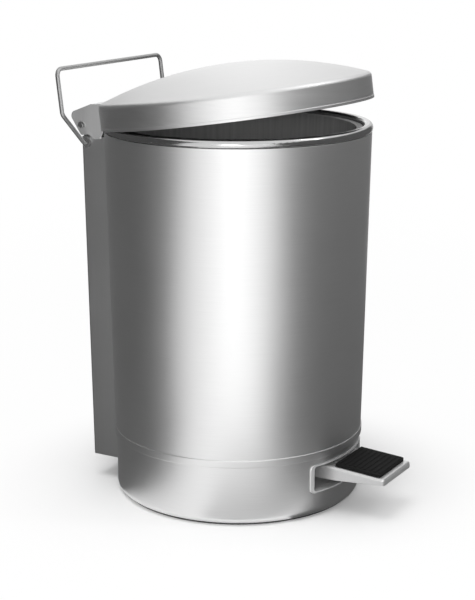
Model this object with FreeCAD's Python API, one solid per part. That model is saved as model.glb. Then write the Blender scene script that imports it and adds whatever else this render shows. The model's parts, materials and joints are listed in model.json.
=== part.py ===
"""Round stainless steel pedal bin with a rear mechanism housing, drawn with its lid a little open.

Millimetres, +Z up. The origin is on the floor, on the axis of the round body. The pedal is at the front,
on -Y, and the housing with the hinge and the carry handle is at the back, on +Y.
"""
import FreeCAD, Part
import math
import os

V = FreeCAD.Vector
ORIGIN = V(0, 0, 0)
AXIS_X = V(1, 0, 0)
AXIS_Z = V(0, 0, 1)

# Sheet and clearances
sheet = 0.8
plate = 1.5
seat_gap = 0.2
run_gap = 0.3
pin_gap = 0.05

# Body
body_top_radius = 125.0
body_narrowing = 5.5
body_bottom = 57.5
body_height = 291.5
body_flange = 9.0
hem_height = 7.0
hem_proud = 0.8
hem_round = 0.6

# Rim ring on the body's top edge, with a ledge for the bucket
rim_height = 8.0
rim_width = 8.2
rim_proud = 0.8
rim_outer_round = 4.0
rim_inner_round = 2.8
rim_lower_round = 3.0
ledge_width = 4.6
ledge_thick = 1.2
collar_height = 8.0

# Base
base_step = 1.5
base_round = 7.0
base_flange = 12.0
foot_height = 1.5
foot_width = 6.0
foot_lip_height = 6.0
foot_lip_thick = 1.2
pan_edge = 7.0

# Opening for the pedal and its lining
slot_width = 104.0
slot_height = 27.5
slot_drop = 6.0
slot_lining = 1.3
slot_cheek = 3.6
lining_proud = 1.2
lining_depth = 5.0
slot_round = 4.5

# Pedal lever and tread
pivot_y = -10.0
pivot_drop = 4.5
pivot_radius = 2.5
bush_wall = 1.5
lever_width = 24.0
lever_depth = 9.0
lever_drop = 12.5
tongue_run = 35.95
lever_hole_radius = 6.0
tongue_thick = 3.0
tongue_depth = 9.0
bracket_length = 30.0
tread_width = 60.0
tread_tail = 22.0
tread_bend_inset = 1.0
tread_reach = 53.0
tread_slope = 4.0
tread_sheet = 1.2
tread_root_depth = 13.0
tread_front_depth = 5.5
tread_round = 3.0
tread_edge_round = 2.2
pad_inset = 2.2
pad_front_inset = 5.5
pad_length = 45.5
pad_thick = 3.2
pad_ribs = 9
rib_height = 0.4
rib_width = 2.2

# Rear housing
housing_width = 110.0
housing_depth = 15.5
housing_bottom = 23.0
housing_top_drop = 9.0
housing_sheet = 1.0
housing_round = 3.0
guide_low_rise = 38.5
guide_high_drop = 59.0
guide_flange = 14.0

# Lift rod, hinge and crank
rod_radius = 1.75
rod_clearance = 0.4
rod_side = 7.0
hook_length = 13.0
crank_arm = 10.3
hook_play = 0.45
throat_round = 1.98
hinge_rise = 1.0
hinge_pin_radius = 2.0
knuckle_radius = 4.2
lid_swing = 50.0
lid_ajar = 8.1

# Lid
lid_overhang = 2.6
lid_drop = 5.2
lid_sheet = 1.0
lid_skirt = 23.0
lid_dome = 23.9
lid_round = 4.5
lid_hem_height = 2.6
lid_hem_proud = 0.3
liner_rise = 10.5
liner_width = 34.0
liner_thick = 1.5
liner_lip = 4.3
bumper_radius = 4.0
bumper_count = 4

# Hood that carries the lid on its hinge
hood_sheet = 1.0
hood_gap = 0.5
hood_front_rise = 18.2
hood_back = 12.6
hood_back_rise = 13.2
hood_low_drop = 8.8
hood_lap_drop = 14.0
hood_lap_front = 19.0
hood_lap_back = 12.5
hood_lap_round = 2.0
hood_low_back = 2.3
hood_corner = 5.0
rivet_radius = 2.5
rivet_height = 1.2

# Bucket
bucket_wall = 2.0
bucket_play = 1.0
bucket_draft = 12.0
bucket_rise = 4.9
bucket_lip = 2.2
bucket_round = 8.0

# Carry handle
wire_radius = 2.0
handle_spread = 28.5
handle_height = 72.0
handle_shoulder = 30.0
handle_neck_gap = 4.5
handle_bend = 7.0
handle_lean = 7.0
handle_inset = 6.5
handle_drop = 6.0
handle_bush_wall = 1.2
handle_bush_flange = 2.4
handle_bush_thick = 0.6
clip_thick = 0.8
clip_width = 2.0
screw_radius = 3.0
screw_height = 1.6

# Places worked out from the sizes above
body_top = body_bottom + body_height
body_bottom_radius = body_top_radius - body_narrowing
base_radius = body_bottom_radius - base_step
lid_radius = body_top_radius + lid_overhang
taper = body_narrowing / body_height
rim_radius = body_top_radius + rim_proud
rim_inside = rim_radius - rim_width
rim_top = body_top + rim_height
ledge_top = body_top + ledge_thick
ledge_inside = rim_inside - ledge_width
rod_y = rim_radius + rod_clearance + rod_radius
hinge_y = rod_y + crank_arm
hinge_z = body_top + hinge_rise
hinge = V(0, hinge_y, hinge_z)
lid_bottom = hinge_z - lid_drop
crank_rest = math.radians(lid_ajar - lid_swing / 2)
hook_top_z = hinge_z + crank_arm * math.tan(crank_rest)
housing_half = housing_width / 2
housing_top = body_top - housing_top_drop
hood_half = housing_half + hood_gap + hood_sheet
guide_low_z = body_bottom + guide_low_rise
guide_high_z = body_top - guide_high_drop
slot_top = body_bottom - slot_drop
slot_bottom = slot_top - slot_height
lever_top = body_bottom - lever_drop
lever_mid = lever_top - tongue_depth / 2
handle_z = housing_top - handle_drop
lever_half = lever_width / 2
lever_rear = rod_y - tongue_run
pivot_z = lever_top - pivot_drop
tread_half = tread_width / 2
tread_rear = base_radius - tread_tail
tread_bend = base_radius - tread_bend_inset
tread_front = base_radius + tread_reach
bucket_top_radius = ledge_inside - bucket_play
bucket_bottom_radius = bucket_top_radius - bucket_draft
bucket_floor = body_bottom + 2 * sheet + bucket_rise


def wall_radius(z):
    """Outer radius of the tapered body at height z."""
    return body_bottom_radius + taper * (z - body_bottom)


def housing_back(z):
    """Outer face of the housing's back wall, parallel to the body's taper."""
    return wall_radius(z) + housing_depth


handle_y = housing_back(handle_z) - handle_inset


def radial(r, z):
    return V(r, 0, z)


def side(y, z):
    return V(0, y, z)


def plan(x, y):
    return V(x, y, 0)


def rounded_face(place, corners):
    """Flat face through corners (u, v) or (u, v, radius), each rounded by its radius."""
    points = [V(c[0], c[1], 0) for c in corners]
    radii = [c[2] if len(c) > 2 else 0 for c in corners]
    starts, middles, ends = [], [], []
    for i, corner in enumerate(points):
        back = (points[i - 1] - corner).normalize()
        ahead = (points[(i + 1) % len(points)] - corner).normalize()
        half = back.getAngle(ahead) / 2
        run = radii[i] / math.tan(half)
        bisector = (back + ahead).normalize() if radii[i] else V(0, 0, 0)
        starts.append(corner + back * run)
        middles.append(corner + bisector * (radii[i] / math.sin(half) - radii[i]))
        ends.append(corner + ahead * run)
    edges = []
    for i, corner in enumerate(points):
        if radii[i]:
            arc = [place(p.x, p.y) for p in (starts[i], middles[i], ends[i])]
            edges.append(Part.Arc(*arc).toShape())
        following = starts[(i + 1) % len(points)]
        if (following - ends[i]).Length > 1e-6:
            line = [place(p.x, p.y) for p in (ends[i], following)]
            edges.append(Part.LineSegment(*line).toShape())
    return Part.Face(Part.Wire(edges))


def turned(corners):
    """Ring or disc turned about the bin's axis from a profile of (radius, height)."""
    return rounded_face(radial, corners).revolve(ORIGIN, AXIS_Z, 360)


def side_plate(corners, x0, x1):
    """Outline in (y, z), thick from x0 to x1."""
    face = rounded_face(side, corners)
    face.translate(V(x0, 0, 0))
    return face.extrude(V(x1 - x0, 0, 0))


def flat_plate(corners, z0, z1):
    """Outline in (x, y), thick from z0 to z1."""
    face = rounded_face(plan, corners)
    face.translate(V(0, 0, z0))
    return face.extrude(V(0, 0, z1 - z0))


def block(x0, x1, y0, y1, z0, z1):
    return Part.makeBox(x1 - x0, y1 - y0, z1 - z0, V(x0, y0, z0))


def cross_bar(radius, x0, x1, y, z):
    """Round bar along X."""
    return Part.makeCylinder(radius, x1 - x0, V(x0, y, z), AXIS_X)


def upright(radius, x, y, z0, z1):
    return Part.makeCylinder(radius, z1 - z0, V(x, y, z0), AXIS_Z)


def wire_form(points, bend, radius):
    """Round wire through points, with a bend of the given radius at each inner one."""
    edges = []
    here = points[0]
    for before, corner, after in zip(points, points[1:], points[2:]):
        back = (before - corner).normalize()
        ahead = (after - corner).normalize()
        half = back.getAngle(ahead) / 2
        start = corner + back * (bend / math.tan(half))
        end = corner + ahead * (bend / math.tan(half))
        middle = corner + (back + ahead).normalize() * (bend / math.sin(half) - bend)
        edges.append(Part.LineSegment(here, start).toShape())
        edges.append(Part.Arc(start, middle, end).toShape())
        here = end
    edges.append(Part.LineSegment(here, points[-1]).toShape())
    section = Part.Wire(Part.makeCircle(radius, points[0], points[1] - points[0]))
    return Part.Wire(edges).makePipeShell([section], True, False)


def retaining_clip(x0, y, z, inner, facing):
    """Open ring that snaps on a bar along X, with its mouth towards facing degrees in the (y, z) plane."""
    ring = cross_bar(inner + clip_width, x0, x0 + clip_thick, y, z)
    ring = ring.cut(cross_bar(inner, x0, x0 + clip_thick, y, z))
    reach = inner + clip_width
    mouth = block(x0, x0 + clip_thick, y + inner / 2, y + 2 * reach, z - reach, z + reach)
    mouth.rotate(V(x0, y, z), AXIS_X, facing)
    return ring.cut(mouth)


def domed_head(radius, height, centre, outward):
    """Low dome of a rivet or screw head standing on a surface."""
    middle = radius / math.sqrt(2)
    ball = (radius ** 2 + height ** 2) / (2 * height)
    shoulder = height - ball + math.sqrt(ball ** 2 - middle ** 2)
    edges = [Part.LineSegment(ORIGIN, V(radius, 0, 0)).toShape(),
             Part.Arc(V(radius, 0, 0), V(middle, 0, shoulder), V(0, 0, height)).toShape(),
             Part.LineSegment(V(0, 0, height), ORIGIN).toShape()]
    head = Part.Face(Part.Wire(edges)).revolve(ORIGIN, AXIS_Z, 360)
    head.Placement = FreeCAD.Placement(centre, FreeCAD.Rotation(AXIS_Z, outward))
    return head


def middle(edge):
    return edge.valueAt((edge.FirstParameter + edge.LastParameter) / 2)


def opened(shape):
    """Turn a lid piece from its closed place to the drawn one."""
    shape.rotate(hinge, AXIS_X, -lid_ajar)
    return shape


def keep(name, *solids):
    """Write one node."""
    shape = solids[0] if len(solids) == 1 else Part.makeCompound(list(solids))
    shape.exportStep("parts/" + name + ".step")


def make_outer_body():
    inner_edge = body_bottom_radius - body_flange
    hem_top = body_bottom + hem_height
    return turned([
        (inner_edge, body_bottom),
        (body_bottom_radius + hem_proud, body_bottom, hem_round),
        (wall_radius(hem_top) + hem_proud, hem_top, hem_round),
        (wall_radius(hem_top), hem_top),
        (body_top_radius, body_top),
        (body_top_radius - sheet, body_top),
        (body_bottom_radius - sheet, body_bottom + sheet),
        (inner_edge, body_bottom + sheet)])


def make_rim_ring():
    collar_outside = wall_radius(body_top - collar_height) - sheet - seat_gap
    collar_inside = collar_outside - sheet
    return turned([
        (rim_radius, body_top, rim_lower_round),
        (rim_radius, rim_top, rim_outer_round),
        (rim_inside, rim_top, rim_inner_round),
        (rim_inside, ledge_top),
        (ledge_inside, ledge_top),
        (ledge_inside, body_top),
        (collar_inside, body_top),
        (collar_inside, body_top - collar_height),
        (collar_outside, body_top - collar_height),
        (collar_outside, body_top)])


def make_base_ring():
    inside = base_radius - sheet
    ring = turned([
        (base_radius - base_flange, foot_height),
        (base_radius, foot_height, base_round),
        (base_radius, body_bottom),
        (body_bottom_radius - body_flange, body_bottom),
        (body_bottom_radius - body_flange, body_bottom - sheet),
        (inside, body_bottom - sheet),
        (inside, foot_height + sheet, base_round - sheet),
        (base_radius - base_flange, foot_height + sheet)])
    half = slot_width / 2
    front = rounded_face(radial, [
        (-half, slot_bottom, slot_round), (half, slot_bottom, slot_round),
        (half, slot_top, slot_round), (-half, slot_top, slot_round)])
    front_slot = front.extrude(V(0, -2 * base_radius, 0))
    swing = tongue_depth + lever_depth
    rear_half = tongue_thick / 2 + 3 * sheet
    rear_slot = block(-rear_half, rear_half, 0, 2 * base_radius,
                      lever_mid - swing / 2, body_bottom - 2 * sheet)
    return ring.cut(front_slot).cut(rear_slot)


def make_slot_lining():
    outer = slot_width / 2 - seat_gap
    low = slot_bottom + seat_gap
    high = slot_top - seat_gap
    corner = slot_round - seat_gap
    band = turned([
        (base_radius - lining_depth, low), (base_radius + lining_proud, low),
        (base_radius + lining_proud, high), (base_radius - lining_depth, high)])
    inset = slot_lining
    inner = outer - slot_cheek
    outside = rounded_face(radial, [
        (-outer, low, corner), (outer, low, corner), (outer, high, corner), (-outer, high, corner)])
    inside = rounded_face(radial, [
        (-inner, low + inset, corner - inset), (inner, low + inset, corner - inset),
        (inner, high - inset, corner - inset), (-inner, high - inset, corner - inset)])
    reach = V(0, -2 * base_radius, 0)
    return band.common(outside.extrude(reach)).cut(inside.extrude(reach))


def make_foot_ring():
    lip_outside = base_radius - base_flange - seat_gap
    lip_inside = lip_outside - foot_lip_thick
    outside = base_radius - base_round + foot_height
    return turned([
        (lip_inside, 0), (outside, 0, foot_height / 2), (outside, foot_height),
        (lip_outside, foot_height), (lip_outside, foot_lip_height), (lip_inside, foot_lip_height)])


def make_floor_pan():
    bottom = body_bottom + sheet
    radius = body_bottom_radius - sheet - run_gap - sheet
    return turned([
        (0, bottom), (radius, bottom), (radius, bottom + pan_edge), (radius - sheet, bottom + pan_edge),
        (radius - sheet, bottom + sheet), (0, bottom + sheet)])


def bracket_inside():
    """Half width between the pivot bracket's cheeks."""
    return lever_half + 2 * run_gap


def make_pivot_bracket():
    inside = bracket_inside()
    top = body_bottom + sheet
    half = bracket_length / 2
    web = block(-inside, inside, pivot_y - half, pivot_y + half, top - plate, top)
    bore = cross_bar(pivot_radius + pin_gap, -housing_half, housing_half, pivot_y, pivot_z)
    low = pivot_z - pivot_radius - 2 * plate
    cheek = [(pivot_y - half, top), (pivot_y - half, top - 2 * plate),
             (pivot_y - half / 3, low, 2 * plate), (pivot_y + half / 3, low, 2 * plate),
             (pivot_y + half, top - 2 * plate), (pivot_y + half, top)]
    cheeks = [side_plate(cheek, inside, inside + plate), side_plate(cheek, -inside - plate, -inside)]
    return web.fuse(cheeks).removeSplitter().cut(bore)


def make_pivot_pin():
    reach = bracket_inside() + plate + 2 * clip_thick
    return cross_bar(pivot_radius, -reach, reach, pivot_y, pivot_z)


def make_pivot_clips():
    outside = bracket_inside() + plate + pin_gap
    inner = pivot_radius + pin_gap
    return (retaining_clip(outside, pivot_y, pivot_z, inner, -90),
            retaining_clip(-outside - clip_thick, pivot_y, pivot_z, inner, -90))


def make_lever_bush():
    outer = pivot_radius + bush_wall
    half = lever_half + run_gap
    return cross_bar(outer, -half, half, pivot_y, pivot_z).cut(
        cross_bar(pivot_radius + pin_gap, -half, half, pivot_y, pivot_z))


def make_pedal_lever():
    low = lever_top - lever_depth
    front = -tread_bend + run_gap
    neck = -tread_rear
    shoulder = tread_half - tread_edge_round - run_gap
    taper_half = lever_half / 2
    top = flat_plate([
        (-shoulder, front), (shoulder, front), (shoulder, neck, tread_round), (lever_half, neck, tread_round),
        (lever_half, lever_rear / 2), (taper_half, lever_rear), (-taper_half, lever_rear),
        (-lever_half, lever_rear / 2), (-lever_half, neck, tread_round), (-shoulder, neck, tread_round)],
        lever_top - plate, lever_top)
    skirt = [(neck, lever_top), (neck, lever_top - lever_depth / 2), (pivot_y - bracket_length, low, plate),
             (pivot_y + bracket_length, low, plate), (lever_rear / 2, lever_top - lever_depth / 2),
             (lever_rear / 2, lever_top)]
    skirts = [side_plate(skirt, lever_half - plate, lever_half),
              side_plate(skirt, -lever_half, plate - lever_half)]
    rod_end = rod_y + rod_radius + hook_play
    tongue_low = lever_top - tongue_depth
    tongue = side_plate([
        (lever_rear / 2, lever_top),
        (lever_rear / 2, lever_top - plate),
        (lever_rear, tongue_low, tongue_depth / 2),
        (rod_end + 2 * plate, tongue_low, tongue_depth / 3),
        (rod_end + 2 * plate, lever_top, tongue_depth / 3)],
        -tongue_thick / 2, tongue_thick / 2)
    slot_half = rod_radius + hook_play
    eye = block(-tongue_thick, tongue_thick, rod_y - hook_play, rod_y + hook_play,
                lever_mid - slot_half, lever_mid + slot_half)
    ends = [cross_bar(slot_half, -tongue_thick, tongue_thick, y, lever_mid)
            for y in (rod_y - hook_play, rod_y + hook_play)]
    bush_hole = cross_bar(pivot_radius + bush_wall + pin_gap, -lever_width, lever_width, pivot_y, pivot_z)
    lever = top.fuse(skirts + [tongue]).removeSplitter()
    for i in range(3):
        y = pivot_y + (i + 1) * lever_rear / 5
        lever = lever.cut(upright(lever_hole_radius / 2, lever_half / 2, y, 0, lever_top))
        lever = lever.cut(upright(lever_hole_radius / 2, -lever_half / 2, y, 0, lever_top))
    return lever.cut(eye.fuse(ends)).cut(bush_hole)


def tread_drop(y):
    """How far the tread's sloping part has fallen at y, measured from its bend."""
    return max(0.0, -tread_bend - y) * math.tan(math.radians(tread_slope))


def tread_block(inset, outline):
    """Side outline of the tread made solid, with round front corners and a round edge along its top."""
    half = tread_half - inset
    front = inset - tread_front
    top = lever_top + tread_sheet - inset
    shape = side_plate(outline, -half, half)
    corners = [e for e in shape.Edges if abs(middle(e).y - front) < 0.1 and abs(middle(e).x) > half - 0.1]
    shape = shape.makeFillet(tread_round - inset, corners)
    ridge = []
    for edge in shape.Edges:
        at = middle(edge)
        on_top = abs(at.z - top + tread_drop(at.y)) < 0.1
        on_rim = abs(at.x) > half - tread_round or abs(at.y - front) < 0.1
        if on_top and on_rim:
            ridge.append(edge)
    return shape.makeFillet(tread_edge_round - inset, ridge)


def make_pedal_tread():
    """Folded sheet whose rim turns down on three sides, open at its root where it lies on the lever."""
    top = lever_top + tread_sheet
    front = -tread_front
    front_top = top - tread_drop(front)
    root = top - tread_root_depth
    outside = [(-tread_rear, top), (-tread_rear, root, tread_round),
               (-tread_bend - tread_round, root, tread_round),
               (front, front_top - tread_front_depth), (front, front_top), (-tread_bend, top)]
    open_rear = tread_root_depth - tread_rear
    inner_front = front + tread_sheet
    inside = [(open_rear, lever_top), (open_rear, 0), (inner_front, 0),
              (inner_front, lever_top - tread_drop(inner_front)), (-tread_bend, lever_top)]
    return tread_block(0.0, outside).cut(tread_block(tread_sheet, inside))


def make_pedal_pad():
    """Rubber pad with ribs across the foot's direction, lying on the tread's slope."""
    half = tread_half - pad_inset
    top = lever_top + tread_sheet
    front = -tread_front + pad_front_inset
    rear = front + pad_length
    level = top + seat_gap / 2
    pad = flat_plate([(-half, front, tread_round), (half, front, tread_round), (half, rear), (-half, rear)],
                     level, level + pad_thick - rib_height)
    step = pad_length / pad_ribs
    edge = 2 * pad_inset
    ribs = []
    for i in range(pad_ribs):
        y = front + (i + 0.5) * step
        ribs.append(block(edge - half, half - edge, y - rib_width / 2, y + rib_width / 2,
                          level, level + pad_thick))
    pad = pad.fuse(ribs).removeSplitter()
    pad.rotate(V(0, -tread_bend, top), AXIS_X, tread_slope)
    return pad


def make_tread_rivets():
    y = rivet_radius + 2 * run_gap - tread_bend
    x = tread_half / 2
    top = lever_top + tread_sheet
    return [domed_head(rivet_radius, rivet_height, V(s * x, y, top), AXIS_Z) for s in (-1, 1)]


def body_envelope():
    """Everything inside the body, its hem and the base, with a seating gap, to trim what stands by it."""
    gap = seat_gap
    hem_top = body_bottom + hem_height
    return turned([
        (0, 0), (base_radius + gap, 0), (base_radius + gap, body_bottom - gap),
        (body_bottom_radius + hem_proud + gap, body_bottom - gap),
        (wall_radius(hem_top) + hem_proud + gap, hem_top + gap), (wall_radius(hem_top) + gap, hem_top + gap),
        (body_top_radius + gap, body_top - gap), (rim_radius + gap, body_top - gap),
        (rim_radius + gap, rim_top), (0, rim_top)])


def housing_section(z):
    """Channel section of the housing at height z, open towards the body."""
    back = housing_back(z)
    inner_round = housing_round - housing_sheet
    inside = housing_half - housing_sheet
    face = rounded_face(plan, [
        (-housing_half, 0), (-housing_half, back, housing_round), (housing_half, back, housing_round),
        (housing_half, 0), (inside, 0), (inside, back - housing_sheet, inner_round),
        (-inside, back - housing_sheet, inner_round), (-inside, 0)])
    face.translate(V(0, 0, z))
    return face.OuterWire


def make_rear_housing():
    channel = Part.makeLoft([housing_section(housing_bottom), housing_section(housing_top)], True, True)
    bush = wire_radius + handle_bush_wall + 2 * pin_gap
    holes = cross_bar(bush, -housing_width, housing_width, handle_y, handle_z)
    return channel.cut(body_envelope()).cut(holes)


def make_rod_guide(z):
    """Shelf across the housing that steadies the lift rod, with a flange against the back wall."""
    inside = housing_half - housing_sheet - seat_gap
    inner_round = housing_round - housing_sheet
    back = housing_back(z - guide_flange) - housing_sheet - seat_gap
    shelf = flat_plate([(-inside, 0), (inside, 0), (inside, back, inner_round), (-inside, back, inner_round)],
                       z - plate, z)
    shelf = shelf.cut(Part.makeCylinder(wall_radius(z) + seat_gap, 2 * plate, V(0, 0, z - 2 * plate), AXIS_Z))
    flat = inside - 2 * inner_round
    flange = block(-flat, flat, back - plate, back, z - guide_flange, z)
    hole = upright(rod_radius + run_gap / 2, -rod_side, rod_y, z - 2 * plate, z + plate)
    return shelf.fuse(flange).removeSplitter().cut(hole)


def bracket_ear_outside():
    """Outer face of the hinge bracket's ears, clear of the housing's rounded corners."""
    return housing_half - housing_round - seat_gap


def make_hinge_bracket():
    """Channel inside the top of the housing, whose two ears hold the hinge pin above the rim."""
    ear_outside = bracket_ear_outside()
    back = housing_back(guide_high_z) - housing_sheet - seat_gap
    low = guide_high_z + seat_gap
    web_top = handle_z - wire_radius - clip_width - plate
    inside = ear_outside - plate
    web = block(-ear_outside, ear_outside, back - plate, back, low, web_top)
    front = rod_y + rod_radius
    ear = [(front, low), (back, low), (back, housing_top - knuckle_radius),
           (hinge_y + knuckle_radius / 2, hinge_z - knuckle_radius), (hinge_y + knuckle_radius / 2, hinge_z),
           (hinge_y - knuckle_radius, hinge_z), (front, housing_top - knuckle_radius)]
    ears = []
    for x in (inside, -ear_outside):
        arm = side_plate(ear, x, x + plate)
        ears.append(arm.fuse(cross_bar(knuckle_radius, x, x + plate, hinge_y, hinge_z)))
    bore = cross_bar(hinge_pin_radius + pin_gap, -housing_width, housing_width, hinge_y, hinge_z)
    handle_bore = cross_bar(wire_radius + pin_gap, -housing_width, housing_width, handle_y, handle_z)
    return web.fuse(ears).removeSplitter().cut(bore).cut(handle_bore)


def make_hinge_spacers():
    inner = bracket_ear_outside() + pin_gap
    outer = housing_half + hood_gap - pin_gap
    tubes = []
    for x in (inner, -outer):
        tube = cross_bar(knuckle_radius - pin_gap, x, x + outer - inner, hinge_y, hinge_z)
        tubes.append(tube.cut(cross_bar(hinge_pin_radius + pin_gap, x, x + outer - inner, hinge_y, hinge_z)))
    return tubes


def make_hinge_pin():
    reach = hood_half + 2 * clip_thick
    return cross_bar(hinge_pin_radius, -reach, reach, hinge_y, hinge_z)


def make_hinge_clips():
    inner = hinge_pin_radius + pin_gap
    outside = hood_half + pin_gap
    return (retaining_clip(outside, hinge_y, hinge_z, inner, -90),
            retaining_clip(-outside - clip_thick, hinge_y, hinge_z, inner, -90))


def make_housing_screws():
    """Pan heads on the back wall that hold the two guides and the hinge bracket."""
    heads = []
    levels = (
        guide_low_z - guide_flange / 2, guide_high_z - guide_flange / 2, (guide_high_z + housing_top) / 2)
    for z in levels:
        for side_sign in (-1, 1):
            centre = V(side_sign * housing_half / 2, housing_back(z) + seat_gap, z)
            heads.append(domed_head(screw_radius, screw_height, centre, V(0, 1, 0)))
    return heads


def make_lift_rod():
    """Straight rod hooked at both ends, below in the lever's eye and above in the lid's fork."""
    points = [V(hook_length - rod_side, rod_y, lever_mid), V(-rod_side, rod_y, lever_mid),
              V(-rod_side, rod_y, hook_top_z), V(hook_length - rod_side, rod_y, hook_top_z)]
    return wire_form(points, 2 * rod_radius, rod_radius)


def make_rod_clips():
    x = tongue_thick / 2 + run_gap
    inner = rod_radius + pin_gap
    return (retaining_clip(x, rod_y, lever_mid, inner, 180), retaining_clip(x, rod_y, hook_top_z, inner, 180))


def cap(radius, height, dome, rounding, bottom):
    """Solid round cap with a straight skirt and a domed top whose edge is rounded."""
    ball = (radius ** 2 + dome ** 2) / (2 * dome)
    top = bottom + height + dome
    solid = Part.makeCylinder(radius, height + dome, V(0, 0, bottom), AXIS_Z)
    solid = solid.common(Part.makeSphere(ball, V(0, 0, top - ball)))
    shoulder = [e for e in solid.Edges if abs(e.BoundBox.ZMin - bottom - height) < sheet / 10
                and abs(e.BoundBox.ZMax - bottom - height) < sheet / 10]
    return solid.makeFillet(rounding, shoulder)


def make_lid_shell():
    """Domed cover whose skirt is cut away at the back, between the hood's cheeks, for the hinge."""
    inside = lid_radius - lid_sheet
    shell = cap(lid_radius, lid_skirt, lid_dome, lid_round, lid_bottom)
    hollow = cap(inside, lid_skirt - lid_sheet, lid_dome, lid_round - lid_sheet, lid_bottom)
    hem_middle = lid_radius - lid_sheet / 2
    hem_outside = lid_radius + lid_hem_proud
    hem_top = lid_bottom + lid_hem_height
    hem = turned([
        (hem_middle, lid_bottom), (hem_outside, lid_bottom, lid_hem_proud),
        (hem_outside, hem_top, lid_hem_proud), (hem_middle, hem_top)])
    turn = math.asin((hood_half - hood_sheet) / inside)
    reach = 2 * lid_radius
    corner_x = reach * math.sin(turn)
    corner_y = reach * math.cos(turn)
    notch = flat_plate([(0, 0), (corner_x, corner_y), (-corner_x, corner_y)], lid_bottom - lid_sheet, hinge_z)
    return opened(shell.fuse(hem).cut(hollow).cut(notch))


def make_lid_liner():
    """Plastic ring that stiffens the lid and carries the bumpers."""
    outside = lid_radius - lid_sheet - run_gap
    low = hinge_z + liner_rise
    inside = outside - liner_width
    outer_lip = low + liner_lip - lid_sheet
    return opened(turned([
        (inside, low), (outside, low), (outside, outer_lip), (outside - liner_thick, outer_lip),
        (outside - liner_thick, low + liner_thick), (inside + liner_thick, low + liner_thick),
        (inside + liner_thick, low + liner_lip), (inside, low + liner_lip)]))


def make_lid_bumpers():
    radius = (rim_radius + rim_inside) / 2
    low = rim_top + run_gap
    high = hinge_z + liner_rise
    pucks = []
    for i in range(bumper_count):
        angle = (i + 0.5) * 2 * math.pi / bumper_count
        x = radius * math.cos(angle)
        y = radius * math.sin(angle)
        pucks.append(opened(upright(bumper_radius, x, y, low, high)))
    return pucks


def hood_outline():
    """Side view of the hood with the lid closed, as (y, z) corners from the lid's skirt round the back."""
    front = math.sqrt(lid_radius ** 2 - hood_half ** 2) - 2 * lid_sheet
    level = lid_radius - 3 * lid_sheet
    return {
        "front_low": (front, lid_bottom),
        "front_high": (front, hinge_z + hood_front_rise),
        "level": (level, hinge_z + hood_front_rise + lid_sheet),
        "back_high": (hinge_y + hood_back, hinge_z + hood_back_rise),
        "back_low": (hinge_y + hood_low_back, hinge_z - hood_low_drop),
        "lap_high": (hinge_y - hood_lap_back / 2, hinge_z - hood_low_drop),
        "lap_back": (hinge_y - hood_lap_back, hinge_z - hood_lap_drop),
        "lap_front": (hinge_y - hood_lap_front, hinge_z - hood_lap_drop)}


def roof_inside():
    """Inner corners of the hood's sloping roof, front and back."""
    at = hood_outline()
    front = (at["level"][0], at["level"][1] - hood_sheet)
    back = (at["back_high"][0] - 1.5 * hood_sheet, at["back_high"][1] - hood_sheet)
    return front, back


def back_line(z):
    """The hood's sloping back at height z."""
    at = hood_outline()
    (high_y, high_z), (low_y, low_z) = at["back_high"], at["back_low"]
    return low_y + (high_y - low_y) * (z - low_z) / (high_z - low_z)


def make_hinge_hood():
    """Folded cover behind the lid, whose cheeks lap over the housing's sides in front of the handle."""
    at = hood_outline()
    cheek = [at["front_low"], at["front_high"], at["level"], at["back_high"] + (hood_corner,),
             at["back_low"] + (hood_corner / 2,), at["lap_high"] + (hood_lap_round,),
             at["lap_back"] + (hood_lap_round,), at["lap_front"] + (hood_lap_round,)]
    inside = hood_half - hood_sheet
    cheeks = [side_plate(cheek, inside, hood_half), side_plate(cheek, -hood_half, -inside)]
    wall_low = hinge_z + hood_sheet
    inner_low = (back_line(wall_low) - hood_sheet, wall_low)
    inner_front, inner_back = roof_inside()
    cover = side_plate([
        at["front_high"], at["level"], at["back_high"] + (hood_corner,),
        (back_line(wall_low), wall_low), inner_low,
        inner_back + (hood_corner - hood_sheet,), inner_front,
        (at["front_high"][0], at["front_high"][1] - hood_sheet)], -inside, inside)
    dome = cap(lid_radius + seat_gap, lid_skirt, lid_dome, lid_round, lid_bottom + seat_gap)
    hem_top = lid_bottom + lid_hem_height + seat_gap
    low = housing_top - lid_skirt
    skirt = Part.makeCylinder(lid_radius + lid_hem_proud + seat_gap, hem_top - low, V(0, 0, low), AXIS_Z)
    bore = cross_bar(hinge_pin_radius + pin_gap, -housing_width, housing_width, hinge_y, hinge_z)
    return opened(cover.fuse(cheeks).removeSplitter().cut(dome).cut(skirt).cut(bore))


def hood_roof(y):
    """Underside of the hood's roof at y, with the lid closed."""
    (front_y, front_z), (back_y, back_z) = roof_inside()
    return front_z + (back_z - front_z) * (y - front_y) / (back_y - front_y)


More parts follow.
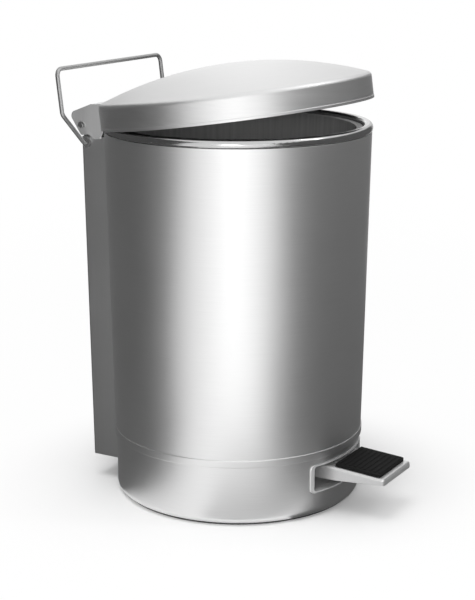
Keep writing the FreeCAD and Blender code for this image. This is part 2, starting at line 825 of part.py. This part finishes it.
def make_lid_crank():
    """Plate under the hood that turns on the hinge pin and takes the rod's hook in an open fork."""
    half = tongue_thick / 2
    leaf_front = hinge_y - crank_arm / 2
    leaf_back = hinge_y + crank_arm / 2
    front_top = hood_roof(leaf_front) - seat_gap
    back_top = hood_roof(leaf_back) - seat_gap
    leaf = side_plate([
        (leaf_front, front_top), (leaf_back, back_top),
        (leaf_back, back_top - plate), (leaf_front, front_top - plate)],
        -2 * crank_arm, 2 * crank_arm)
    web = side_plate([
        (hinge_y - knuckle_radius, hinge_z), (hinge_y + knuckle_radius, hinge_z),
        (hinge_y + knuckle_radius, back_top - plate / 2),
        (hinge_y - knuckle_radius, back_top - plate / 2)], -half, half)
    eye = cross_bar(knuckle_radius, -half, half, hinge_y, hinge_z)
    reach = crank_arm / math.cos(math.radians(lid_swing / 2)) + hook_play
    gap = rod_radius + hook_play
    tip = gap + plate
    throat = hinge_y - crank_arm + gap
    fork = side_plate([
        (hinge_y, hinge_z + tip),
        (hinge_y - reach, hinge_z + tip, plate / 2),
        (hinge_y - reach, hinge_z + gap),
        (throat, hinge_z + gap, throat_round),
        (throat, hinge_z - gap, throat_round),
        (hinge_y - reach, hinge_z - gap),
        (hinge_y - reach, hinge_z - tip, plate / 2),
        (hinge_y, hinge_z - tip)], -half, half)
    fork.rotate(hinge, AXIS_X, lid_swing / 2)
    bore = cross_bar(hinge_pin_radius + pin_gap, -lid_radius, lid_radius, hinge_y, hinge_z)
    return opened(leaf.fuse([web, eye, fork]).removeSplitter().cut(bore))


def make_hood_rivets():
    at = hood_outline()
    front = V(0, *at["level"])
    along = V(0, *at["back_high"]) - front
    outward = AXIS_X.cross(along).normalize()
    middle = front + along * ((hinge_y - front.y) / along.y) + outward * pin_gap
    heads = []
    for x in (-1.5 * crank_arm, 1.5 * crank_arm):
        heads.append(opened(domed_head(rivet_radius, rivet_height, middle + V(x, 0, 0), outward)))
    return heads


def make_inner_bucket():
    lip_radius = rim_inside - run_gap
    top = ledge_top + bucket_lip
    neck = ledge_top
    inside_bottom = bucket_bottom_radius - bucket_wall
    return turned([
        (0, bucket_floor), (bucket_bottom_radius, bucket_floor, bucket_round), (bucket_top_radius, neck),
        (lip_radius, neck), (lip_radius, top, bucket_lip / 3),
        (bucket_top_radius - bucket_wall, top, bucket_lip / 3),
        (inside_bottom, bucket_floor + bucket_wall, bucket_round - bucket_wall),
        (0, bucket_floor + bucket_wall)])


def make_carry_handle():
    lean = math.radians(handle_lean)

    def at(x, height):
        return V(x, handle_y + height * math.sin(lean), handle_z + height * math.cos(lean))

    neck = housing_half + handle_neck_gap
    half = neck + handle_spread
    end = bracket_ear_outside() - plate - 2 * clip_thick
    right = [at(neck, 0), at(half, handle_shoulder), at(half, handle_height)]
    left = [V(-p.x, p.y, p.z) for p in reversed(right)]
    points = [at(end, 0)] + right + left + [at(-end, 0)]
    return wire_form(points, handle_bend, wire_radius)


def make_handle_bushes():
    """Flanged bushes in the housing's side walls, in which the handle's ends turn."""
    inner = wire_radius + pin_gap
    tube = inner + handle_bush_wall
    flange = inner + handle_bush_flange
    start = housing_half - 2 * housing_sheet
    seat = housing_half + pin_gap
    bushes = []
    for sign in (1, -1):
        bush = cross_bar(tube, start, seat, handle_y, handle_z)
        bush = bush.fuse(cross_bar(flange, seat, seat + handle_bush_thick, handle_y, handle_z))
        bush = bush.cut(cross_bar(inner, start, housing_width, handle_y, handle_z))
        bushes.append(bush if sign > 0 else bush.mirror(ORIGIN, AXIS_X))
    return bushes


def make_handle_clips():
    """Clips on the handle's ends, inside the hinge bracket's ears."""
    inner = wire_radius + pin_gap
    inside = bracket_ear_outside() - plate - pin_gap
    return (retaining_clip(inside - clip_thick, handle_y, handle_z, inner, 180),
            retaining_clip(-inside, handle_y, handle_z, inner, 180))


def main():
    os.makedirs("parts", exist_ok=True)
    keep("outer_body", make_outer_body())
    keep("rim_ring", make_rim_ring())
    keep("base_ring", make_base_ring())
    keep("pedal_slot_lining", make_slot_lining())
    keep("foot_ring", make_foot_ring())
    keep("floor_pan", make_floor_pan())
    keep("pivot_bracket", make_pivot_bracket())
    keep("pivot_pin", make_pivot_pin())
    keep("pivot_clips", *make_pivot_clips())
    keep("rear_housing", make_rear_housing())
    keep("rod_guide_lower", make_rod_guide(guide_low_z))
    keep("rod_guide_upper", make_rod_guide(guide_high_z))
    keep("hinge_bracket", make_hinge_bracket())
    keep("hinge_spacers", *make_hinge_spacers())
    keep("hinge_pin", make_hinge_pin())
    keep("hinge_clips", *make_hinge_clips())
    keep("housing_screws", *make_housing_screws())
    keep("handle_bushes", *make_handle_bushes())
    keep("handle_clips", *make_handle_clips())
    keep("inner_bucket", make_inner_bucket())
    keep("lid_shell", make_lid_shell())
    keep("lid_liner", make_lid_liner())
    keep("lid_bumpers", *make_lid_bumpers())
    keep("hinge_hood", make_hinge_hood())
    keep("lid_crank", make_lid_crank())
    keep("hood_rivets", *make_hood_rivets())
    keep("pedal_lever", make_pedal_lever())
    keep("lever_bush", make_lever_bush())
    keep("pedal_tread", make_pedal_tread())
    keep("pedal_pad", make_pedal_pad())
    keep("tread_rivets", *make_tread_rivets())
    keep("lift_rod", make_lift_rod())
    keep("rod_clips", *make_rod_clips())
    keep("carry_handle", make_carry_handle())


main()
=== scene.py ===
"""Looks, light and camera for the steel pedal bin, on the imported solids.

Metres, in the frame of the solids: +Z up, the floor at zero, the pedal on -Y and the housing on +Y.
"""
import json
import math

import bpy
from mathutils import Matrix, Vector

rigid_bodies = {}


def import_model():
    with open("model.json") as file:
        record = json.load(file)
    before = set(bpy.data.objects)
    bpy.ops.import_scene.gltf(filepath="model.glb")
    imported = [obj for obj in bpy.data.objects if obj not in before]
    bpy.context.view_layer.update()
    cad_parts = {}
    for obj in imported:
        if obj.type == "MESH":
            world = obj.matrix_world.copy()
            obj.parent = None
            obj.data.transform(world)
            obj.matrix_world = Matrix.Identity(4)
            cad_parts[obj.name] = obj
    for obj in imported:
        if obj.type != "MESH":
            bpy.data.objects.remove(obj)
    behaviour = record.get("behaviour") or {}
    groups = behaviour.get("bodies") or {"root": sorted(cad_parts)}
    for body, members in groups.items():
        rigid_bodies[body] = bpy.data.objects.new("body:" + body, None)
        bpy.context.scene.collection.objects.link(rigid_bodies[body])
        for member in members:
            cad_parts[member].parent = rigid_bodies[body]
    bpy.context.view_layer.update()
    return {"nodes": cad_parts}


for leftover in list(bpy.data.objects):
    bpy.data.objects.remove(leftover)
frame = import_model()

# Camera, with angles in degrees
VIEW_AZIMUTH = -60.17
VIEW_ELEVATION = 14.08
VIEW_DISTANCE = 1.4934
VIEW_TARGET = Vector((0, 0, 0.18473))
VIEW_SENSOR = 36.0
VIEW_LENS = 93.32
VIEW_SHIFT_X = -0.001

# Worn edges
WEAR_GAIN = 4.0
WEAR_SCALE = 90.0

# Steel: share of brushed lines and smudges, and how far they change roughness and colour
LINE_SHARE = 0.7
LINE_DETAIL = 4.0
LINE_STRENGTH = 0.06
LINE_DEPTH = 0.0002
SMUDGE_SHARE = 0.3
SMUDGE_SCALE = 14.0
SMUDGE_DETAIL = 2.0
STEEL_ROUGH_SPREAD = 0.07
STEEL_TINT = (0.9, 1.06)
STEEL_EDGE = 0.0004

# Plastic: clouds, and how far they change roughness and colour, and the moulded grain
CLOUD_SCALE = 18.0
CLOUD_DETAIL = 2.0
PLASTIC_ROUGH_SPREAD = 0.08
PLASTIC_TINT = (0.7, 1.3)
PLASTIC_EDGE = 0.0003
MOULD_DETAIL = 4.0
MOULD_STRENGTH = 0.25

# Grain round the bin's axis as scales per (turn, height, radius), and straight grain per (x, y, z)
ROUND_GRAIN = (3.0, 2600.0, 0.0)
TURNED_GRAIN = (2.0, 400.0, 2200.0)
# The bucket's upright streaks are painted reflections in its colour.
WALL_REFLECTION_STREAKS = (26.0, 6.0, 0.0)
UPRIGHT_GRAIN = (2400.0, 2400.0, 8.0)
WIRE_GRAIN = (60.0, 900.0, 900.0)

# Floor, with its own glow as (distance from the bin's axis, share)
FLOOR_HALF = 14.0
FLOOR_WHITE = 0.9
FLOOR_ROUGHNESS = 0.9
FLOOR_GLOW = ((0.11, 0.0), (0.28, 0.92), (1.6, 1.0))
WORLD_FILL = 0.6

# Soft boxes as (name, degrees right of the camera, elevation, distance, width, height, watts, mirrored)
LAMPS = (
    ("top", -40, 75, 2.6, 1.4, 1.4, 26, False),
    ("fill", 0, 18, 2.4, 0.8, 0.8, 24, False),
    ("strip_right", 75, 48, 1.3, 0.12, 0.5, 1.2, True))

# Plates round the bin that glow only in the metal's reflections, as painted shade and painted highlights;
# placed as seen from the camera: x to the right, y towards it
CARD_LIFT = 0.0005
CARD_SIDE = 0.42
CARD_REAR = -0.8

# Dark plates beside the bin, seen only in the metal as painted shade on its flanks: level, front ends at the
# floor and at the top, height
LEFT_SIDE_SHADE = (0.085, 0.31, 0.70, 0.75)
RIGHT_SIDE_SHADE = (0.115, 0.71, 0.77, 0.56)

# Dark plates on the floor beside the bin, seen only in the metal as painted shade low on its flanks: inner x
# beside the axis and at the front end, front end
FLAP_SHADE_LEVEL = 0.085
LEFT_FLAP_SHADE = (-0.11, -0.20, 0.27)
RIGHT_FLAP_SHADE = (0.13, 0.13, 0.45)

# Plates on the floor, seen only in the metal: the dark ones paint shade into the base, the bright one paints
# a highlight low on the body; name, level, x range, y range
PAINTED_FLOOR_REFLECTIONS = (
    ("pedal_flap_shade", FLAP_SHADE_LEVEL, (0.05, 0.13), (-0.3, 0.11)),
    ("near_flap_shade", 0.45, (-0.045, 0.13), (0.125, 0.30)),
    ("front_flap_highlight", 1.5, (-0.16, 0.16), (0.36, 0.8)))

# Pale plates that stand across the view and glow only in the metal: the front ones paint the highlights on
# the body and the lid skirt, the back ones paint the lid's lighter middle and its shaded sides; name, level,
# y, x range, z range
BACK_PLACE = -1.6
BACK_HEIGHT = 2.2
FRONT_PLACE = 2.0
PAINTED_UPRIGHT_REFLECTIONS = (
    ("key_highlight_plate", 2.9, FRONT_PLACE, (-0.5, 0.15), (0.0, 0.5)),
    ("lid_highlight_plate", 1.9, FRONT_PLACE, (0.15, 1.2), (0.2, 0.7)),
    ("back_left_shade_plate", 0.84, BACK_PLACE, (-2.5, -0.3), (0.0, BACK_HEIGHT)),
    ("back_right_shade_plate", 0.76, BACK_PLACE, (0.35, 2.5), (0.0, BACK_HEIGHT)),
    ("back_mid_highlight_plate", 1.25, BACK_PLACE, (-0.25, 0.1), (0.0, BACK_HEIGHT)))

# Look of each node; the others are zinc-plated
NODE_LOOKS = {
    "outer_body": "body", "base_ring": "body", "rim_ring": "rim", "rear_housing": "sheet",
    "hinge_hood": "hood", "lid_shell": "lid", "carry_handle": "wire", "pedal_tread": "tread",
    "pedal_slot_lining": "trim", "pedal_pad": "rubber", "lid_bumpers": "rubber",
    "inner_bucket": "bucket", "foot_ring": "foot", "lid_liner": "liner", "lever_bush": "liner",
    "hinge_spacers": "liner", "handle_bushes": "liner"}


def grey(level):
    return (level, level, level)


def view_back(azimuth, elevation):
    """Unit vector from the object towards a viewer."""
    a, e = math.radians(azimuth), math.radians(elevation)
    return Vector((math.sin(a) * math.cos(e), -math.cos(a) * math.cos(e), math.sin(e)))


def view_right(azimuth):
    """Unit vector to the right, as a viewer sees it."""
    a = math.radians(azimuth)
    return Vector((math.cos(a), math.sin(a), 0))


class Shader:
    """A material's node tree with one Principled shader."""

    def __init__(self, name, colour, metallic, roughness):
        self.material = bpy.data.materials.new(name)
        self.material.use_nodes = True
        self.tree = self.material.node_tree
        self.bsdf = self.tree.nodes["Principled BSDF"]
        self.bsdf.inputs["Base Color"].default_value = (*colour, 1)
        self.bsdf.inputs["Metallic"].default_value = metallic
        self.bsdf.inputs["Roughness"].default_value = roughness

    def node(self, kind, **settings):
        made = self.tree.nodes.new("ShaderNode" + kind)
        for key, value in settings.items():
            setattr(made, key, value)
        return made

    def link(self, source, target):
        self.tree.links.new(source, target)

    def math(self, operation, a, b=None):
        """Math node on two sockets or numbers, giving its output."""
        made = self.node("Math", operation=operation)
        for place, value in enumerate((a, b)):
            if isinstance(value, bpy.types.NodeSocket):
                self.link(value, made.inputs[place])
            elif value is not None:
                made.inputs[place].default_value = value
        return made.outputs[0]

    def noise(self, vector, scale, detail=3.0):
        made = self.node("TexNoise")
        made.inputs["Scale"].default_value = scale
        made.inputs["Detail"].default_value = detail
        self.link(vector, made.inputs["Vector"])
        return made.outputs["Fac"]

    def spread(self, value, low, high):
        """Map a 0 to 1 value to low to high."""
        made = self.node("MapRange")
        made.inputs["To Min"].default_value = low
        made.inputs["To Max"].default_value = high
        self.link(value, made.inputs["Value"])
        return made.outputs["Result"]

    def place(self):
        return self.node("TexCoord").outputs["Object"]

    def stretched(self, scales):
        """Object coordinates, stretched so that noise turns into grain."""
        made = self.node("Mapping")
        made.inputs["Scale"].default_value = scales
        self.link(self.place(), made.inputs["Vector"])
        return made.outputs["Vector"]

    def around(self, scales):
        """Coordinates that follow the bin's axis: turn, height and radius, each with its own scale."""
        parts = self.node("SeparateXYZ")
        self.link(self.place(), parts.inputs[0])
        x, y, z = parts.outputs
        turn = self.math("ARCTAN2", y, x)
        radius = self.math("SQRT", self.math("ADD", self.math("MULTIPLY", x, x), self.math("MULTIPLY", y, y)))
        joined = self.node("CombineXYZ")
        for value, scale, target in zip((turn, z, radius), scales, joined.inputs):
            self.link(self.math("MULTIPLY", value, scale), target)
        return joined.outputs[0]

    def rough(self, value, middle, reach):
        """Roughness that runs from below to above its middle with value."""
        self.link(self.spread(value, middle - reach, middle + reach), self.bsdf.inputs["Roughness"])

    def tint(self, value, level, shares):
        """Base colour that runs from a dark to a light share of its level with value."""
        ramp = self.node("ValToRGB")
        for stop, share in zip(ramp.color_ramp.elements, shares):
            stop.color = (*grey(level * share), 1)
        self.link(value, ramp.inputs["Fac"])
        self.link(ramp.outputs["Color"], self.bsdf.inputs["Base Color"])

    def soften(self, edge):
        """Surface normal with its edges rounded by edge metres."""
        made = self.node("Bevel", samples=6)
        made.inputs["Radius"].default_value = edge
        return made.outputs["Normal"]

    def worn(self, normal):
        """Patchy mask of the edges, where a softened normal leaves the plain one."""
        turn = self.node("VectorMath", operation="DOT_PRODUCT")
        self.link(normal, turn.inputs[0])
        self.link(self.node("NewGeometry").outputs["Normal"], turn.inputs[1])
        mask = self.math("MULTIPLY", self.math("SUBTRACT", 1.0, turn.outputs["Value"]), WEAR_GAIN)
        return self.math("MULTIPLY", mask, self.noise(self.place(), WEAR_SCALE))

    def bump(self, value, strength, distance, normal):
        """Relief from value on top of a softened normal."""
        made = self.node("Bump")
        made.inputs["Strength"].default_value = strength
        made.inputs["Distance"].default_value = distance
        self.link(value, made.inputs["Height"])
        self.link(normal, made.inputs["Normal"])
        self.link(made.outputs["Normal"], self.bsdf.inputs["Normal"])


def round_grain(shader):
    return shader.around(ROUND_GRAIN)


def turned_grain(shader):
    return shader.around(TURNED_GRAIN)


# Upright streaks for the bucket's inner wall, painted reflections.
def painted_wall_reflections(shader):
    return shader.around(WALL_REFLECTION_STREAKS)


def upright_grain(shader):
    return shader.stretched(UPRIGHT_GRAIN)


def wire_grain(shader):
    return shader.stretched(WIRE_GRAIN)


def steel(name, level, roughness, grain, metallic=1.0):
    """Brushed stainless steel, whose grain is the coordinates that the given function makes."""
    shader = Shader(name, grey(level), metallic, roughness)
    lines = shader.noise(grain(shader), 1.0, LINE_DETAIL)
    smudge = shader.noise(shader.place(), SMUDGE_SCALE, SMUDGE_DETAIL)
    mixed = shader.math("ADD", shader.math("MULTIPLY", lines, LINE_SHARE),
                        shader.math("MULTIPLY", smudge, SMUDGE_SHARE))
    normal = shader.soften(STEEL_EDGE)
    wear = shader.worn(normal)
    shader.rough(shader.math("SUBTRACT", mixed, wear), roughness, STEEL_ROUGH_SPREAD)
    shader.tint(shader.math("ADD", mixed, wear), level, STEEL_TINT)
    shader.bump(lines, LINE_STRENGTH, LINE_DEPTH, normal)
    return shader.material


def plastic(name, level, roughness, scale, depth, reflection_streaks=None, gloss=0.5):
    """Moulded plastic or rubber with a fine grain, clouded, or streaked with painted reflections."""
    shader = Shader(name, grey(level), 0.0, roughness)
    shader.bsdf.inputs["Specular IOR Level"].default_value = gloss
    grain = shader.noise(shader.place(), scale, MOULD_DETAIL)
    if reflection_streaks:
        # The streaks paint reflections into the colour.
        cloud = shader.noise(reflection_streaks(shader), 1.0, CLOUD_DETAIL)
    else:
        cloud = shader.noise(shader.place(), CLOUD_SCALE, CLOUD_DETAIL)
    normal = shader.soften(PLASTIC_EDGE)
    wear = shader.worn(normal)
    shader.rough(cloud, roughness, PLASTIC_ROUGH_SPREAD)
    shader.tint(shader.math("ADD", cloud, wear), level, PLASTIC_TINT)
    shader.bump(grain, MOULD_STRENGTH, depth, normal)
    return shader.material


def make_materials():
    """Each look's material, from its grey level, roughness and grain."""
    return {
        "body": steel("satin_steel", 0.86, 0.45, round_grain),
        "lid": steel("lid_steel", 0.80, 0.46, turned_grain),
        "sheet": steel("housing_steel", 0.94, 0.42, upright_grain),
        "hood": steel("hood_steel", 0.88, 0.52, upright_grain, metallic=0.86),
        "rim": steel("polished_steel", 0.60, 0.20, turned_grain),
        "wire": steel("drawn_wire", 0.48, 0.48, wire_grain),
        "tread": steel("tread_steel", 0.82, 0.38, wire_grain, metallic=0.8),
        "trim": steel("trim_steel", 0.86, 0.40, upright_grain, metallic=0.7),
        "zinc": steel("zinc_steel", 0.62, 0.42, upright_grain),
        "bucket": plastic("pale_plastic", 0.44, 0.45, 900.0, 0.0002, reflection_streaks=painted_wall_reflections),
        "foot": plastic("black_plastic", 0.022, 0.42, 900.0, 0.0002),
        "liner": plastic("grey_plastic", 0.10, 0.5, 1200.0, 0.0002),
        "rubber": plastic("black_rubber", 0.006, 0.75, 1600.0, 0.0003, gloss=0.2)}


def dress_nodes(looks):
    for name, node in frame["nodes"].items():
        look = looks[NODE_LOOKS.get(name, "zinc")]
        for place in node.material_slots:
            place.material = look


def aim(thing, back, distance):
    """Set a camera or lamp on a line from the bin, looking at it."""
    thing.location = VIEW_TARGET + back * distance
    thing.rotation_euler = (-back).to_track_quat("-Z", "Y").to_euler()


def add_camera():
    data = bpy.data.cameras.new("camera")
    data.sensor_width = VIEW_SENSOR
    data.lens = VIEW_LENS
    data.shift_x = VIEW_SHIFT_X
    camera = bpy.data.objects.new("camera", data)
    bpy.context.collection.objects.link(camera)
    aim(camera, view_back(VIEW_AZIMUTH, VIEW_ELEVATION), VIEW_DISTANCE)
    bpy.context.scene.camera = camera


def add_lamp(name, turn, elevation, distance, width, height, watts, mirrored):
    """Soft box that looks at the bin, mirrored in the metal or only lighting what is matt."""
    data = bpy.data.lights.new(name, "AREA")
    data.shape = "RECTANGLE"
    data.size = width
    data.size_y = height
    data.energy = watts
    lamp = bpy.data.objects.new(name, data)
    bpy.context.collection.objects.link(lamp)
    aim(lamp, view_back(VIEW_AZIMUTH + turn, elevation), distance)
    lamp.visible_glossy = mirrored


def seen_rays(tree):
    """One for rays that show the background itself: from the camera, in metal and through glass."""
    path = tree.nodes.new("ShaderNodeLightPath")
    total = path.outputs["Is Camera Ray"]
    for name in ("Is Glossy Ray", "Is Transmission Ray"):
        either = tree.nodes.new("ShaderNodeMath")
        either.operation = "MAXIMUM"
        tree.links.new(total, either.inputs[0])
        tree.links.new(path.outputs[name], either.inputs[1])
        total = either.outputs[0]
    return total


def add_world():
    """White surroundings, which light the bin less than they show."""
    world = bpy.data.worlds.new("studio")
    bpy.context.scene.world = world
    world.use_nodes = True
    tree = world.node_tree
    background = tree.nodes["Background"]
    background.inputs["Color"].default_value = (1, 1, 1, 1)
    level = tree.nodes.new("ShaderNodeMapRange")
    level.inputs["To Min"].default_value = WORLD_FILL
    level.inputs["To Max"].default_value = 1.0
    tree.links.new(seen_rays(tree), level.inputs["Value"])
    tree.links.new(level.outputs["Result"], background.inputs["Strength"])


def plate(name, corners):
    """Four-cornered plate of the studio."""
    mesh = bpy.data.meshes.new(name)
    mesh.from_pydata([tuple(c) for c in corners], [], [(0, 1, 2, 3)])
    made = bpy.data.objects.new(name, mesh)
    bpy.context.collection.objects.link(made)
    return made


def add_floor():
    """Pale floor that turns white away from the bin and keeps its shadow near it."""
    half = FLOOR_HALF
    floor = plate("floor", [(-half, -half, 0), (half, -half, 0), (half, half, 0), (-half, half, 0)])
    shader = Shader("floor", grey(FLOOR_WHITE), 0.0, FLOOR_ROUGHNESS)
    shader.bsdf.inputs["Specular IOR Level"].default_value = 0.0
    glow = shader.node("Emission")
    mix = shader.node("MixShader")
    away = shader.node("VectorMath", operation="LENGTH")
    shader.link(shader.place(), away.inputs[0])
    reach = FLOOR_GLOW[-1][0]
    share = shader.node("ValToRGB")
    share.color_ramp.interpolation = "EASE"
    stops = share.color_ramp.elements
    stops.new(0.5)
    for stop, (distance, level) in zip(stops, FLOOR_GLOW):
        stop.position = distance / reach
        stop.color = (*grey(level), 1)
    shader.link(shader.math("DIVIDE", away.outputs["Value"], reach), share.inputs["Fac"])
    part = shader.math("MULTIPLY", seen_rays(shader.tree), share.outputs["Color"])
    shader.link(part, mix.inputs["Fac"])
    shader.link(shader.bsdf.outputs["BSDF"], mix.inputs[1])
    shader.link(glow.outputs["Emission"], mix.inputs[2])
    shader.link(mix.outputs["Shader"], shader.tree.nodes["Material Output"].inputs["Surface"])
    floor.data.materials.append(shader.material)


def add_painted_reflection(name, level, places):
    """Glowing plate of the studio which only the metal shows, a painted reflection, from places as the camera
    sees them.
    """
    ahead = view_back(VIEW_AZIMUTH, 0)
    right = view_right(VIEW_AZIMUTH)
    reflection_plate = plate(name, [right * x + ahead * y + Vector((0, 0, z)) for x, y, z in places])
    shader = Shader(name, grey(0.0), 0.0, 1.0)
    shader.bsdf.inputs["Specular IOR Level"].default_value = 0.0
    shader.bsdf.inputs["Emission Color"].default_value = (*grey(level), 1)
    shader.bsdf.inputs["Emission Strength"].default_value = 1.0
    reflection_plate.data.materials.append(shader.material)
    reflection_plate.visible_camera = False
    reflection_plate.visible_diffuse = False
    reflection_plate.visible_shadow = False


def add_side_shade(name, side, level, low, high, height):
    """Dark plate that stands beside the bin, along the view, seen only in the metal as painted shade."""
    add_painted_reflection(name, level, [(side, low, CARD_LIFT), (side, CARD_REAR, CARD_LIFT),
                           (side, CARD_REAR, height), (side, high, height)])


def add_flap_shade(name, side, near, far, front):
    """Dark plate on the floor beside the bin, whose inner edge runs on to the rear, seen only in the metal as
    painted shade.
    """
    rear = near + (far - near) * CARD_REAR / front
    add_painted_reflection(name, FLAP_SHADE_LEVEL, [(side, CARD_REAR, CARD_LIFT), (rear, CARD_REAR, CARD_LIFT),
                                (far, front, CARD_LIFT), (side, front, CARD_LIFT)])


def add_painted_reflections():
    """Painted reflections, seen only in the metal: dark plates left and right of the bin, flaps on the floor
    before it and pale plates across the view.
    """
    add_side_shade("side_shade_left", -CARD_SIDE, *LEFT_SIDE_SHADE)
    add_side_shade("side_shade_right", CARD_SIDE, *RIGHT_SIDE_SHADE)
    add_flap_shade("flap_shade_left", -CARD_SIDE, *LEFT_FLAP_SHADE)
    add_flap_shade("flap_shade_right", CARD_SIDE, *RIGHT_FLAP_SHADE)
    z = CARD_LIFT
    for name, level, (x0, x1), (y0, y1) in PAINTED_FLOOR_REFLECTIONS:
        add_painted_reflection(name, level, [(x0, y0, z), (x1, y0, z), (x1, y1, z), (x0, y1, z)])
    for name, level, y, (x0, x1), (z0, z1) in PAINTED_UPRIGHT_REFLECTIONS:
        add_painted_reflection(name, level, [(x0, y, z0), (x1, y, z0), (x1, y, z1), (x0, y, z1)])


def main():
    dress_nodes(make_materials())
    add_camera()
    add_world()
    add_floor()
    add_painted_reflections()
    for lamp in LAMPS:
        add_lamp(*lamp)
    bpy.context.scene.view_settings.view_transform = "Standard"


main()
